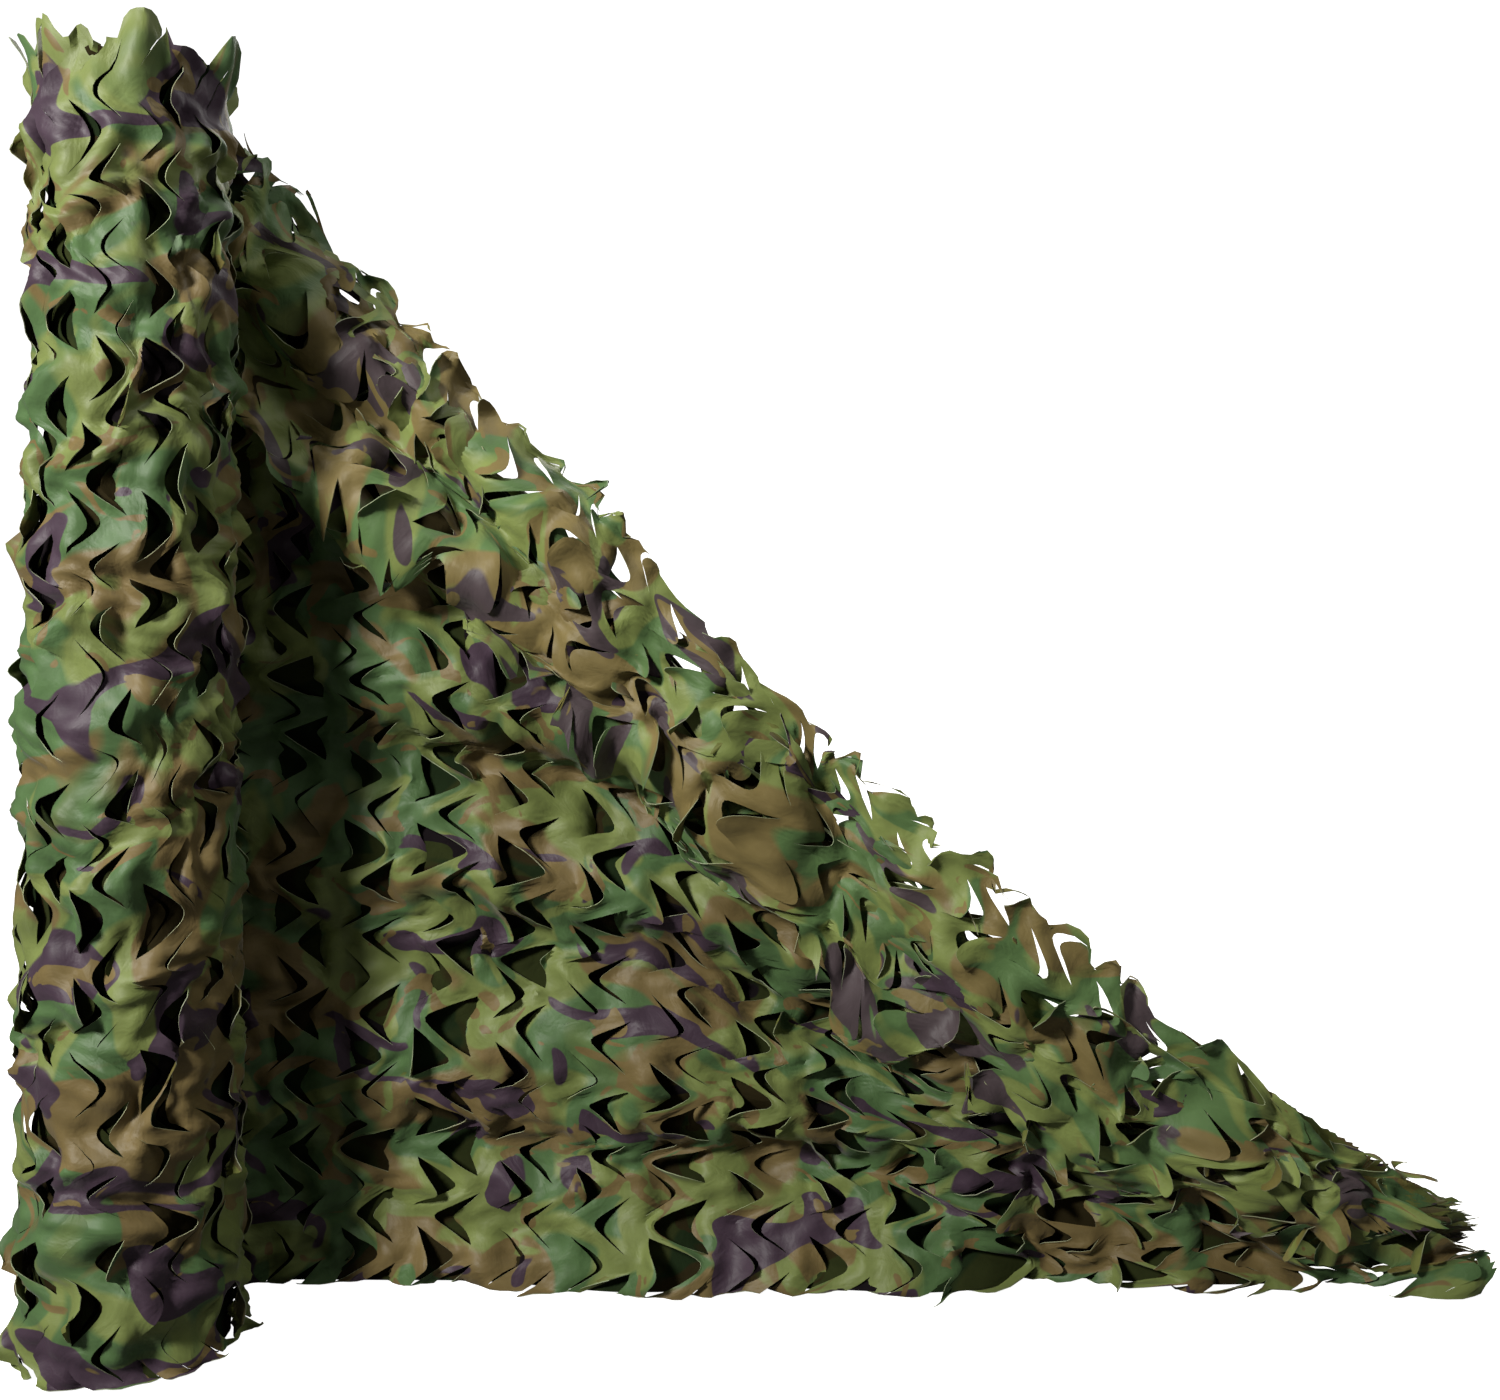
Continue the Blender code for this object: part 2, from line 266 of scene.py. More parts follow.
class DrawnSheet:
    """The drawn-out end's middle surface, as a fine grid read by distance and cloth height."""

    STEP = 0.004

    def __init__(self, origin):
        self.origin = np.array(origin)
        self.reach = np.linspace(0.0, TIP_DISTANCE + 0.02, 150)
        places = []
        for distance in self.reach:
            angles = fold_angles(distance, fold_strength(distance))
            sideways = along_section(np.sin(angles))
            lift = 0.5 * SHEET_SOLID * abs(sin(angles[0]))
            height = along_section(np.cos(angles)) + lift
            away = smooth_step(0.05, 0.35, distance)
            sideways = sideways - sideways.min() - FRONT_REACH * away
            rounded = wound_radius(SEAT_END, height)
            settled = ROLL_RADIUS + 0.5 * ROLL_TAPER
            free = smooth_step(0.0, 0.5, distance)
            y = rounded + (settled - rounded) * free + TURN_STEP - 0.5 * SHEET_SOLID
            y = y + sideways + swell(distance, height)
            places.append(np.stack([np.full_like(y, distance), y, height], axis=1))
        self.places = np.array(places)

    def middle(self, distance, cloth):
        """Points of the surface. A distance below 0 lies round the back of the roll."""
        across = np.clip(distance, 0.0, self.reach[-1]) / self.reach[1]
        up = np.clip(cloth, 0.0, NET_WIDTH) / FINE[1]
        point = between(self.places, across, up)
        angle = SEAT_END - np.minimum(distance, 0.0) / ROLL_RADIUS
        radius = wound_radius(angle, cloth) + TURN_STEP - 0.5 * SHEET_SOLID
        wrapped = np.stack([radius * np.cos(angle), radius * np.sin(angle), cloth], axis=1)
        point = np.where((distance < 0.0)[:, None], wrapped, point)
        point[:, 2] += np.maximum(cloth - NET_WIDTH, 0.0) + np.minimum(cloth, 0.0)
        return point + self.origin

    def point(self, distance, cloth, lift):
        return stand_off(self.middle, distance, cloth, lift, self.STEP)


class FrontFall:
    """The foremost cloth of the drawn-out end at every height."""

    STEP = 0.004

    def __init__(self, sheet):
        self.sheet = sheet
        heights = np.arange(0.0, NET_WIDTH + 0.08, self.STEP)
        field = []
        for section in sheet.places:
            bins = np.clip(np.round(section[:, 2] / self.STEP).astype(int), 0, len(heights) - 1)
            front = np.full(len(heights), 9.0)
            np.minimum.at(front, bins, section[:, 1])
            seen = front < 9.0
            field.append(np.interp(heights, heights[seen], front[seen]))
        field = np.array(field)
        for _ in range(9):
            padded = np.pad(field, ((1, 1), (2, 2)), mode="edge")
            field = sum(padded[1:-1, k : k + field.shape[1]] for k in range(5)) / 5.0
            padded = np.pad(field, ((1, 1), (0, 0)), mode="edge")
            field = (padded[:-2] + padded[1:-1] + padded[2:]) / 3.0
        self.field = field

    def middle(self, distance, height):
        """Points of the surface. A distance below 0 lies round the back of the roll."""
        across = np.clip(distance, 0.0, self.sheet.reach[-1]) / self.sheet.reach[1]
        up = np.clip(height, 0.0, NET_WIDTH + 0.07) / self.STEP
        x = np.minimum(distance, TIP_DISTANCE + 0.03)
        drawn = np.stack([x, between(self.field, across, up), height], axis=1) + self.sheet.origin
        wrapped = self.sheet.middle(np.minimum(distance, 0.0), height)
        return np.where((distance < 0.0)[:, None], wrapped, drawn)

    def point(self, distance, height, lift):
        return stand_off(self.middle, distance, height, lift, 2.0 * self.STEP)


class EdgeBand:
    """The band along the front's top edge, read by length along that edge and height in the band."""

    def __init__(self, front):
        self.front = front
        self.reach = np.linspace(0.0, TIP_DISTANCE, 400)
        self.top = np.array([sheet_height(d) for d in self.reach])
        steps = np.hypot(np.diff(self.reach), np.diff(self.top))
        self.run = np.concatenate(([0.0], np.cumsum(steps)))
        self.slope = np.gradient(self.top, self.reach)
        for _ in range(3):
            self.slope = np.convolve(np.pad(self.slope, 12, mode="edge"), np.full(25, 0.04), mode="valid")

    def point(self, run, level, lift):
        start = np.interp(run, self.run, self.reach)
        slope = np.interp(run, self.run, self.slope)
        top = np.interp(run, self.run, self.top)
        shrink = np.minimum(1.0, 0.75 * top / BAND_DEPTH)
        below = (BAND_DEPTH - level) * shrink
        size = np.sqrt(1.0 + slope**2)
        distance = start + below * slope / size
        height = top - below / size
        return self.front.point(np.maximum(distance, 0.0), height, lift + BAND_GAP)


class WoundTurn:
    """A turn of the roll. Distance runs clockwise from the back, and the turn sinks in by sink."""

    def __init__(self, origin, sink):
        self.origin = np.array(origin)
        self.sink = sink

    def point(self, distance, cloth, lift):
        angle = SEAT_END - distance / ROLL_RADIUS
        turned = (angle - SEAT_START) / (2.0 * pi)
        radius = wound_radius(angle, cloth) + TURN_STEP - self.sink * turned + lift
        return np.stack([radius * np.cos(angle), radius * np.sin(angle), cloth], axis=1) + self.origin


# ---- the leaf cut ----


def cut_swing(rows, soft):
    """Sideways swing of the cut's zigzag at a height in rows: 0 at a left bend, CUT_SWING at a right one."""
    low = 0.25  # the phase of the left bend, kept clear of 0 and 1
    high = low + CUT_RISE
    fine = np.linspace(0.0, 1.0, 401)
    phase = (fine + low) % 1.0
    rising = smooth_step(low - soft, low + soft, phase) * (1.0 - smooth_step(high - soft, high + soft, phase))
    slope = rising / CUT_RISE - (1.0 - rising) / (1.0 - CUT_RISE)
    slope -= slope.mean()
    wave = np.concatenate(([0.0], np.cumsum(0.5 * (slope[1:] + slope[:-1]) * fine[1])))
    wave = (wave - wave.min()) / (wave.max() - wave.min())
    return CUT_SWING * np.interp(rows % 1.0, fine, wave)


def toothed(place, near, teeth, power, foot=0.0):
    """An uneven edge: how far each place stands out, and how far it leans. near is 1 at the edge.

    teeth has a row for each leaf end: its place, half width, height and lean.
    """
    out, lean = foot * near, np.zeros(len(place))
    for middle, wide, tall, leaning in teeth:
        tooth = (1.0 - np.clip(np.abs(place - middle) / wide, 0.0, 1.0) ** power) * near
        out = np.maximum(out, tall * tooth)
        lean = lean + leaning * tooth
    return out, lean


class LeafCut:
    """A flat stretch of netting, cut with bent slits: a grid of quads whose lines follow the cut."""

    def __init__(self, first, last, seed, soft, lowest=0, stand=STAND):
        self.first, self.last, self.lowest = first, last, lowest
        self.soft, self.stand = soft, stand
        self.noise = np.random.default_rng(seed)
        self.columns = [k + step for k in range(first, last) for step in COLUMN_STEPS] + [float(last)]
        self.rows = [m + step for m in range(lowest, ROWS) for step in ROW_STEPS] + [float(ROWS)]
        self.build()

    def swing(self, column, row):
        """The zigzag's sideways swing. Its bends grow rounder along the cut."""
        share = smooth_step(4.0, 9.0, column)
        return (1.0 - share) * cut_swing(row, self.soft[0]) + share * cut_swing(row, self.soft[1])

    def in_slit(self, column, row):
        """Whether a place on the grid lies strictly inside a slit."""
        line = round(column % 1.0, 4)
        if line not in (0.0, RIGHT_CUT) or not self.first < column < self.last:
            return False
        start, arms = (0.0, LEFT_SLIT) if line == 0.0 else (CUT_RISE, RIGHT_SLIT)
        away = row - start - round(row - start)
        return arms[0] + 1e-6 < away < arms[1] - 1e-6

    def build(self):
        """Lay out the points, with two at each place inside a slit, and the quads between them."""
        places, ids = [], {}
        for i, column in enumerate(self.columns):
            for j, row in enumerate(self.rows):
                for side in (-1, 1) if self.in_slit(column, row) else (0,):
                    ids[i, j, side] = len(places)
                    places.append((column, row, side))
        self.places = np.array(places)
        self.faces = []
        for i in range(len(self.columns) - 1):
            for j in range(len(self.rows) - 1):
                corners = ((i, j, 1), (i + 1, j, -1), (i + 1, j + 1, -1), (i, j + 1, 1))
                self.faces.append([ids.get(key, ids.get((*key[:2], 0))) for key in corners])

    def open_slits(self, mood):
        """Move every place: along the cloth, off it and up it. mood gives each slit its looseness."""
        moves = np.zeros((3, len(self.places)))
        for k in range(self.first, self.last + 1):
            for m in range(self.lowest - 1, ROWS + 1):
                # the leaf lies to the right of a slit that bends to the left, and the other way round
                self.open_one(float(k), float(m), LEFT_SLIT, 1.0, 0.0, mood, moves)
                self.open_one(k + RIGHT_CUT, m + CUT_RISE, RIGHT_SLIT, -1.0, CUT_SWING, mood, moves)
        return moves

    def open_one(self, line, bend, arms, leaf, swing, mood, moves):
        """One slit: its leaf curls out of the cloth or into it, and the lips part."""
        column, row, side = self.places.T
        beside = np.abs(column - line) < SLIT_SIDE
        where = np.nonzero(beside & (row > bend + arms[0]) & (row < bend + arms[1]))[0]
        if not len(where):
            return
        column, row, side = column[where], row[where], side[where]
        away = column - line
        on_leaf = np.where(np.abs(away) < 1e-6, side, np.sign(away)) == leaf
        reach = (row - bend) / np.where(row < bend, -arms[0], arms[1])  # 0 at its bend, 1 and -1 at its ends
        part, curl, tilt, twist = mood(line, bend, self.noise)
        length = LEAF * drawn_pitch(line)
        tip = leaf * away + leaf * (self.swing(column, row) - swing)
        tip = np.clip(1.0 - tip / LEAF, 0.0, 1.0)
        leaf_out, leaf_back = self.curled_leaf(reach, tip, length, curl, tilt, twist)
        bell = np.clip(1.0 - reach**2, 0.0, 1.0)
        fade = np.clip(1.0 - np.abs(away) / LIP_SIDE, 0.0, 1.0)
        lip = bell * fade**1.3
        sag = 0.05 + 0.16 * min(abs(curl + tilt), 1.2)
        give = -LIP_GIVE * length * np.tanh(2.0 * (curl + 2.0 * tilt)) * lip
        parted = leaf * (leaf_back + LIP_SHARES[0] * part * lip)
        moves[0, where] += np.where(on_leaf, parted, -leaf * LIP_SHARES[1] * part * lip)
        moves[1, where] += np.where(on_leaf, leaf_out, give)
        moves[2, where] += np.where(on_leaf, -sag * length * tip**2, 0.0)

    def curled_leaf(self, reach, tip, length, curl, tilt, twist):
        """How far each place of a leaf comes out of the cloth, and how far back. tip is 1 at its end."""
        turn = np.clip(curl + twist * reach, -MOST_CURL, MOST_CURL)
        turn = np.where(np.abs(turn) < LEAST_CURL, LEAST_CURL, turn)
        lean = np.clip(tilt + 0.5 * twist * reach, -MOST_LEAN, MOST_LEAN)
        leaf_out = length * (1.0 - np.cos(turn * tip)) / turn + length * np.sin(lean) * tip
        leaf_out = self.stand * np.tanh(leaf_out / self.stand)
        leaf_back = length * (tip - np.sin(turn * tip) / turn) + length * (1.0 - np.cos(lean)) * tip
        return leaf_out, leaf_back

    def rag(self, size, edge):
        """Leaves that end unevenly: how far each place stands out at an edge, and how far it leans."""
        column, row, _ = self.places.T
        near = np.clip(1.0 - np.abs(row - edge) / RAG_DEPTH, 0.0, 1.0)
        teeth = []
        middle = self.first - 0.5
        while middle < self.last + 0.5:
            middle += 0.42 + 0.50 * self.noise.random()
            wide = 0.26 + 0.28 * self.noise.random()
            tall = size * (0.30 + 0.70 * self.noise.random() ** 1.4)
            teeth.append((middle, wide, tall, 1.6 * (self.noise.random() - 0.5)))
        return toothed(column, near, teeth, 2.4)

    def flaps(self, flaps, edge):
        """Round flaps that stand up at an edge, on a foot."""
        column, row, _ = self.places.T
        place = column + self.swing(column, row) - 0.5 * CUT_SWING
        near = np.clip(1.0 - np.abs(row - edge) / FLAP_DEPTH, 0.0, 1.0)
        return toothed(place, near, flaps, 4, FLAP_FOOT)


class Lobes:
    """An uneven edge of round leaf ends: how far it stands out at a distance along it, and how it leans."""

    def __init__(self, seed, pitch, size):
        noise = np.random.default_rng(seed)
        self.lobes = []
        middle = -0.1
        while middle < 2.3:
            middle += pitch * (0.5 + 0.9 * noise.random())
            wide, tall = pitch * (0.35 + 0.35 * noise.random()), size * noise.random() ** 1.2
            self.lobes.append((middle, wide, tall, (1.4 * noise.random() - 0.7) * tall))

    def at(self, distance):
        return toothed(distance, np.ones_like(distance), self.lobes, 2.6)[0]

    def lean(self, distance):
        return toothed(distance, np.ones_like(distance), self.lobes, 2)[1]


def add_object(name, data):
    """A new object in the scene."""
    thing = bpy.data.objects.new(name, data)
    bpy.context.collection.objects.link(thing)
    return thing


def make_piece(name, points, faces, uv, materials):
    """A mesh object from points and quads, with the cloth's own coordinates as its UV map."""
    mesh = bpy.data.meshes.new(name)
    mesh.from_pydata([tuple(point) for point in points], [], faces)
    cloth_map = mesh.uv_layers.new(name="cloth")
    corner = np.array([index for face in faces for index in face])
    cloth_map.data.foreach_set("uv", uv[corner].astype(np.float32).ravel())
    for material in materials:
        mesh.materials.append(material)
    return add_object(name, mesh)


def quads(starts, rows):
    """Quads of a grid of points with so many rows, each named by its first point."""
    return [(a, a + rows, a + rows + 1, a + 1) for a in starts]


def give_thickness(thing):
    """Thicken a sheet both ways. Its back takes the second material and its cut edges the third."""
    bpy.ops.object.select_all(action="DESELECT")
    bpy.context.view_layer.objects.active = thing
    thing.select_set(True)
    thicken = thing.modifiers.new("thickness", "SOLIDIFY")
    thicken.thickness = CLOTH
    thicken.offset = 0.0
    thicken.use_rim = True
    thicken.material_offset = 1
    thicken.material_offset_rim = 2
    bpy.ops.object.modifier_apply(modifier=thicken.name)
    bpy.ops.object.shade_smooth_by_angle(angle=radians(50))
    thing.select_set(False)


def drawn_scale(columns):
    """Metres along the cloth at a place in columns. Column 0 is where the netting leaves the roll."""
    slack = ROLL_PITCH * np.minimum(columns, 0.0)
    ease = np.clip(columns, 0.0, PITCH_EASE)
    drawn = np.maximum(columns - PITCH_EASE, 0.0) * DRAWN_PITCH
    return slack + ease * ROLL_PITCH + (DRAWN_PITCH - ROLL_PITCH) * ease**2 / (2.0 * PITCH_EASE) + drawn


def drawn_pitch(column):
    """Width of a column at a place in columns."""
    return ROLL_PITCH + (DRAWN_PITCH - ROLL_PITCH) * min(max(column / PITCH_EASE, 0.0), 1.0)


class Ripples:
    """Soft uneven swells of the netting, as a few waves in seeded directions."""

    def __init__(self, seed, size, lengths):
        noise = np.random.default_rng(seed)
        self.waves = []  # pace along and up, start and size
        for length in lengths:
            share = size / 3.0 * (length / lengths[0]) ** 0.7
            for _ in range(3):
                angle, start = noise.random(2) * 2.0 * pi
                pace = 2.0 * pi / length * (0.8 + 0.4 * noise.random())
                self.waves.append((pace * cos(angle), pace * sin(angle), start, share))

    def at(self, distance, cloth):
        return sum(size * np.sin(a * distance + b * cloth + start) for a, b, start, size in self.waves)


WARP_ALONG = Ripples(41, 0.011, (0.55, 0.30))
WARP_UP = Ripples(43, 0.009, (0.60, 0.33))
UNEVEN_ALONG = Ripples(59, 1.0, (0.26, 0.15))
UNEVEN_UP = Ripples(61, 1.0, (0.26, 0.15))
SOFT_CREASES = Ripples(47, 1.0, (0.095, 0.060))
FINE_CREASES = Ripples(53, 1.0, (0.036, 0.025))
DRAWN_SWELLS = Ripples(21, 0.009, (0.17, 0.11))


def whole(distance, cloth, points):
    """Keeps every face."""
    return np.ones(len(distance), bool)


def flush(distance, cloth):
    """Netting that lies on its surface."""
    return np.zeros_like(distance)


def untrimmed(distance):
    """Lower and upper edge that cut nothing off."""
    return np.full_like(distance, -9.0), np.full_like(distance, 9.0)


def even_height(distance, row):
    """Rows at an even height, as on the roll."""
    return row / ROWS * NET_WIDTH


def drawn_height(distance, row):
    """Rows of the drawn-out front: they draw together on the way to the tip."""
    places, shares = zip(*ROW_PITCHES)
    return row * NET_WIDTH / ROWS * np.interp(distance, places, shares)


def hem_reach(distance, height):
    """How far the hem lies out towards the camera."""
    return HEM_REACH * smooth_step(0.75, 1.20, distance) * (1.0 - smooth_step(0.0, 0.16, height))


def band_height(run, row):
    """Rows of the band along the top edge."""
    return (row - BAND_FOOT) * BAND_PITCH


def top_edge(distance):
    """Height of the drawn-out end's top edge at each of many distances."""
    fine = np.linspace(0.0, TIP_DISTANCE, 240)
    return np.interp(distance, fine, [sheet_height(d) for d in fine])


def without_scraps(faces):
    """The faces less any loose scrap of netting that has only a few."""
    label = np.arange(faces.max() + 1)
    settled = False
    while not settled:
        before = label.copy()
        np.minimum.at(label, faces, label[faces].min(axis=1)[:, None])
        label = label[label]
        settled = bool((label == before).all())
    _, scrap, sizes = np.unique(label[faces[:, 0]], return_inverse=True, return_counts=True)
    return faces[sizes[scrap] >= LEAST_FACES]


def net_piece(
    name, cut, surface, mood, materials, off_surface, rag, shift=0.0, keep=whole, height=even_height,
    trim=untrimmed, creases=(0.0030, 0.0012), warp=0.0, flaps=(), print_shift=(0.0, 0.0),
):
    """Cut netting laid on a surface. rag is how far the leaves of the top and lower edge stand out.

    shift moves the cut along the cloth, in columns. trim gives the cloth's lower and upper edge, and keep
    says which faces stay. creases are the sizes of the soft and the fine ones, warp that of the uneven cut.
    flaps take the place of the top edge's leaves, and print_shift moves the print.
    """
    along, off, up = cut.open_slits(mood)
    column, row, _ = cut.places.T
    column = column + shift
    distance = drawn_scale(column + cut.swing(column, row) - 0.5 * CUT_SWING)
    cloth = height(distance, row)
    uv = np.stack([distance, row / ROWS * NET_WIDTH], axis=1) + print_shift
    lowest, highest = trim(distance)
    over = (cloth >= highest) | (cloth <= lowest) | (highest - lowest < LEAST_STRIP)
    cloth = np.clip(cloth, lowest, highest)
    high, high_lean = cut.flaps(flaps, ROWS) if flaps else cut.rag(rag[0], ROWS)
    low, low_lean = cut.rag(rag[1], 0)
    fade = tip_fade(distance)
    bulk = smooth_step(0.0, 0.15, cloth) * (1.0 - smooth_step(1.35, 1.5, cloth))
    along = along + (WARP_ALONG.at(distance, cloth) + warp * UNEVEN_ALONG.at(distance, cloth)) * bulk
    up = up + (WARP_UP.at(distance, cloth) + warp * UNEVEN_UP.at(distance, cloth)) * bulk
    leaning = rag[0] * high_lean + rag[1] * np.abs(low_lean)
    off = off + off_surface(distance, cloth) + 0.6 * leaning * fade
    off = off + creases[0] * SOFT_CREASES.at(distance, cloth) + creases[1] * FINE_CREASES.at(distance, cloth)
    points = surface.point(distance + along, cloth + up + (high - low) * fade, off)
    points[:, 2] = np.maximum(points[:, 2], FLOOR_CLEARANCE + 0.004 * np.abs(low_lean))
    faces = np.array(cut.faces)
    kept = keep(distance[faces].mean(axis=1), cloth[faces].mean(axis=1), points[faces].mean(axis=1))
    kept = kept & (over[faces].sum(axis=1) < 4)
    used, renumbered = np.unique(without_scraps(faces[kept]), return_inverse=True)
    thing = make_piece(name, points[used], renumbered.reshape(-1, 4).tolist(), uv[used], materials)
    give_thickness(thing)
    return thing


def tip_fade(distance):
    """1 along the netting, falling to a third at its cut end, where everything lies bunched."""
    return 1.0 - 0.7 * smooth_step(1.25, 1.60, distance)


# ---- materials ----


def new_group(name, label, kind):
    """An empty shader group with its input, a place on the cloth in metres, and its one output."""
    group = bpy.data.node_groups.new(name, "ShaderNodeTree")
    group.interface.new_socket("Place", in_out="INPUT", socket_type="NodeSocketVector")
    group.interface.new_socket(label, in_out="OUTPUT", socket_type=kind)
    return group, group.nodes.new("NodeGroupInput").outputs[0], group.nodes.new("NodeGroupOutput").inputs[0]


def node(tree, kind, settings=(), out=0, **inputs):
    """A shader node, as its output. Inputs go by name, or by i and number, and are values or outputs."""
    made = tree.nodes.new("ShaderNode" + kind)
    for key, value in dict(settings).items():
        setattr(made, key, value)
    for key, value in inputs.items():
        numbered = key[0] == "i" and key[1:].isdigit()
        socket = made.inputs[int(key[1:]) if numbered else key.replace("_", " ")]
        if isinstance(value, bpy.types.NodeSocket):
            tree.links.new(value, socket)
        else:
            socket.default_value = value
    return made.outputs[out]


def seen_by_camera(tree):
    """1 for what the camera sees itself, 0 for what only lights the net."""
    return node(tree, "LightPath", out="Is Camera Ray")


def mix_colour(tree, share, first, second):
    return node(tree, "Mix", {"data_type": "RGBA"}, 2, i0=share, i6=first, i7=second)


def print_patch(tree, place, offset, scale, stretch, bend, cover, edge):
    """A mask of printed patches: 1 inside a patch, with a crisp rim."""
    turn = (0.0, 0.0, bend)
    moved = node(tree, "Mapping", Vector=place, Location=offset, Rotation=turn, Scale=(1.0, stretch, 1.0))
    blobs = node(
        tree, "TexNoise", {"noise_dimensions": "2D"}, Vector=moved, Scale=scale, Detail=1.6, Roughness=0.42,
        Distortion=0.75,
    )
    return node(tree, "MapRange", {"clamp": True}, Value=blobs, i1=cover - edge, i2=cover + edge)


# Printed colours, linear RGB.
LIGHT_GREEN = (0.136, 0.168, 0.048, 1.0)
MID_GREEN = (0.060, 0.114, 0.040, 1.0)
BROWN = (0.132, 0.095, 0.035, 1.0)
DARK = (0.043, 0.026, 0.040, 1.0)
PATCHES = (  # printed in turn over light green: offset, scale, stretch, turn, cover, soft rim and colour
    ((0.3, 1.7, 0.0), 6.0, 1.30, 0.25, 0.470, 0.030, MID_GREEN),
    ((5.1, 3.3, 0.0), 5.2, 1.35, -0.20, 0.545, 0.014, BROWN),
    ((9.4, 6.2, 0.0), 7.5, 1.20, 0.50, 0.600, 0.020, LIGHT_GREEN),
    ((2.6, 8.9, 0.0), 6.6, 1.70, 0.35, 0.622, 0.005, DARK),
    ((7.7, 4.1, 0.0), 15.0, 1.50, 0.40, 0.665, 0.008, BROWN),
)


def woodland_group():
    """The woodland print, as a colour."""
    group, place, output = new_group("woodland print", "Color", "NodeSocketColor")
    colour = LIGHT_GREEN
    for *patch, printed in PATCHES:
        colour = mix_colour(group, print_patch(group, place, *patch), colour, printed)
    group.links.new(colour, output)
    return group


def weave_group():
    """Fine cloth weave: a height for bump."""
    group, place, output = new_group("fine weave", "Height", "NodeSocketFloat")
    threads = []
    for turn in (0.0, 0.5 * pi):
        turned = node(group, "Mapping", Vector=place, Rotation=(0.0, 0.0, turn))
        threads.append(node(group, "TexWave", out=1, Vector=turned, Scale=260.0))
    weave = node(group, "Math", {"operation": "MAXIMUM"}, i0=threads[0], i1=threads[1])
    group.links.new(weave, output)
    return group


def new_material(name):
    """A material with its node tree and its main surface."""
    material = bpy.data.materials.new(name)
    material.use_nodes = True
    return material, material.node_tree, material.node_tree.nodes["Principled BSDF"]


def cloth_material(groups, name, tint, amount, roughness, sheen, gloss=0.26, painted_light_factor=1.0):
    """Printed netting cloth. tint and amount turn the print towards a plain colour, and the last argument
    brightens it as painted light.
    """
    material, tree, surface = new_material(name)
    place = node(tree, "UVMap", {"uv_map": "cloth"})
    printed = node(tree, "Group", {"node_tree": groups["print"]}, Place=place)
    colour = mix_colour(tree, amount, printed, tint)
    mottle = node(tree, "TexNoise", Vector=place, Scale=28.0, Detail=3.0)
    # random mottle of the print's tone, times the last argument: above 1 that is painted light
    tone_and_painted_light = node(tree, "MapRange", Value=mottle, i1=0.3, i2=0.7, i3=0.86 * painted_light_factor, i4=1.12 * painted_light_factor)
    shaded = node(tree, "VectorMath", {"operation": "SCALE"}, i0=colour, Scale=tone_and_painted_light)
    weave = node(tree, "Group", {"node_tree": groups["weave"]}, Place=place)
    fine = node(tree, "Bump", Strength=0.12, Distance=0.0004, Height=weave)
    crease = node(tree, "TexNoise", Vector=place, Scale=34.0, Detail=3.0, Roughness=0.55, Distortion=0.6)
    bump = node(tree, "Bump", Strength=0.55, Distance=0.004, Height=crease, Normal=fine)
    rough = node(tree, "MapRange", Value=mottle, i3=roughness - 0.05, i4=roughness + 0.05)
    for key, value in (("Base Color", shaded), ("Normal", bump), ("Roughness", rough)):
        tree.links.new(value, surface.inputs[key])
    for key, value in (("Specular IOR Level", gloss), ("Sheen Weight", sheen), ("Sheen Roughness", 0.4)):
        surface.inputs[key].default_value = value
    return material


# ---- the pieces ----


def mood_of(part, curl, tilt, noise, wild=0.0):
    """A slit's looseness: how far its lips part, and its leaf's curl, tilt and twist."""
    turn = curl[0] + curl[1] * np.clip(noise.standard_t(3), -2.4, 2.4)
    lean = tilt[0] + tilt[1] * noise.standard_normal()
    if noise.random() < wild:
        turn += 0.9 * np.sign(turn)
    open_by = part * min(0.12 + noise.gamma(0.9, 0.95), 3.2)
    return open_by, turn, lean, 0.45 * (abs(turn) + abs(lean)) * noise.standard_normal()


def roll_mood(line, bend, noise):
    """Leaves of the outer turn: nearly shut, sunk in, or fluffed up into round bumps."""
    pick = noise.random()
    if pick < 0.36:
        return mood_of(0.005, (-0.05, 0.35), (0.10, 0.10), noise)
    if pick < 0.60:
        return mood_of(0.013, (-0.30, 0.35), (-0.20, 0.16), noise)
    return mood_of(0.009, (-0.30, 0.60), (0.38, 0.22), noise, 0.12)


def inner_mood(line, bend, noise):
    """Leaves of the turn under it."""
    return mood_of(0.004, (0.0, 0.3), (0.0, 0.1), noise)


def looseness(line, bend):
    """How loose a slit is, from 0 where the netting stands flat to 1 at its top edge, and its distance."""
    distance = max(float(drawn_scale(np.array(line))), 0.0)
    below_edge = sheet_height(distance) - float(drawn_height(np.array(distance), bend))
    edge = 1.0 - smooth_step(0.04, 0.26, below_edge)
    pleated = smooth_step(0.60, 1.25, distance)
    return float(max(edge * smooth_step(0.02, 0.30, distance), 0.75 * pleated)), distance


def drawn_mood(line, bend, noise):
    """Leaves of the drawn-out end: most sink in by the roll, and open out by the top edge and the tip."""
    loose, distance = looseness(line, bend)
    closing = 1.0 - 0.35 * float(smooth_step(1.30, 1.60, distance))
    sunk = noise.random() < 0.74 - 0.40 * loose
    way = -1.0 if sunk else 1.0
    curl = (way * (0.18 + 0.20 * loose), 0.32 + 0.30 * loose)
    tilt = (way * (0.25 + 0.06 * loose), 0.14 + 0.10 * loose)
    part, turn, lean, twist = mood_of(0.016 + 0.005 * loose, curl, tilt, noise, 0.08 + 0.10 * loose)
    return part * closing, turn * closing, lean * closing, twist * closing


def band_mood(line, bend, noise):
    """Leaves along the top edge: loose, turned all ways and hanging."""
    way = -1.0 if noise.random() < 0.35 else 1.0
    return mood_of(0.009, (way * 0.38, 0.45), (way * 0.22, 0.25), noise, 0.12)


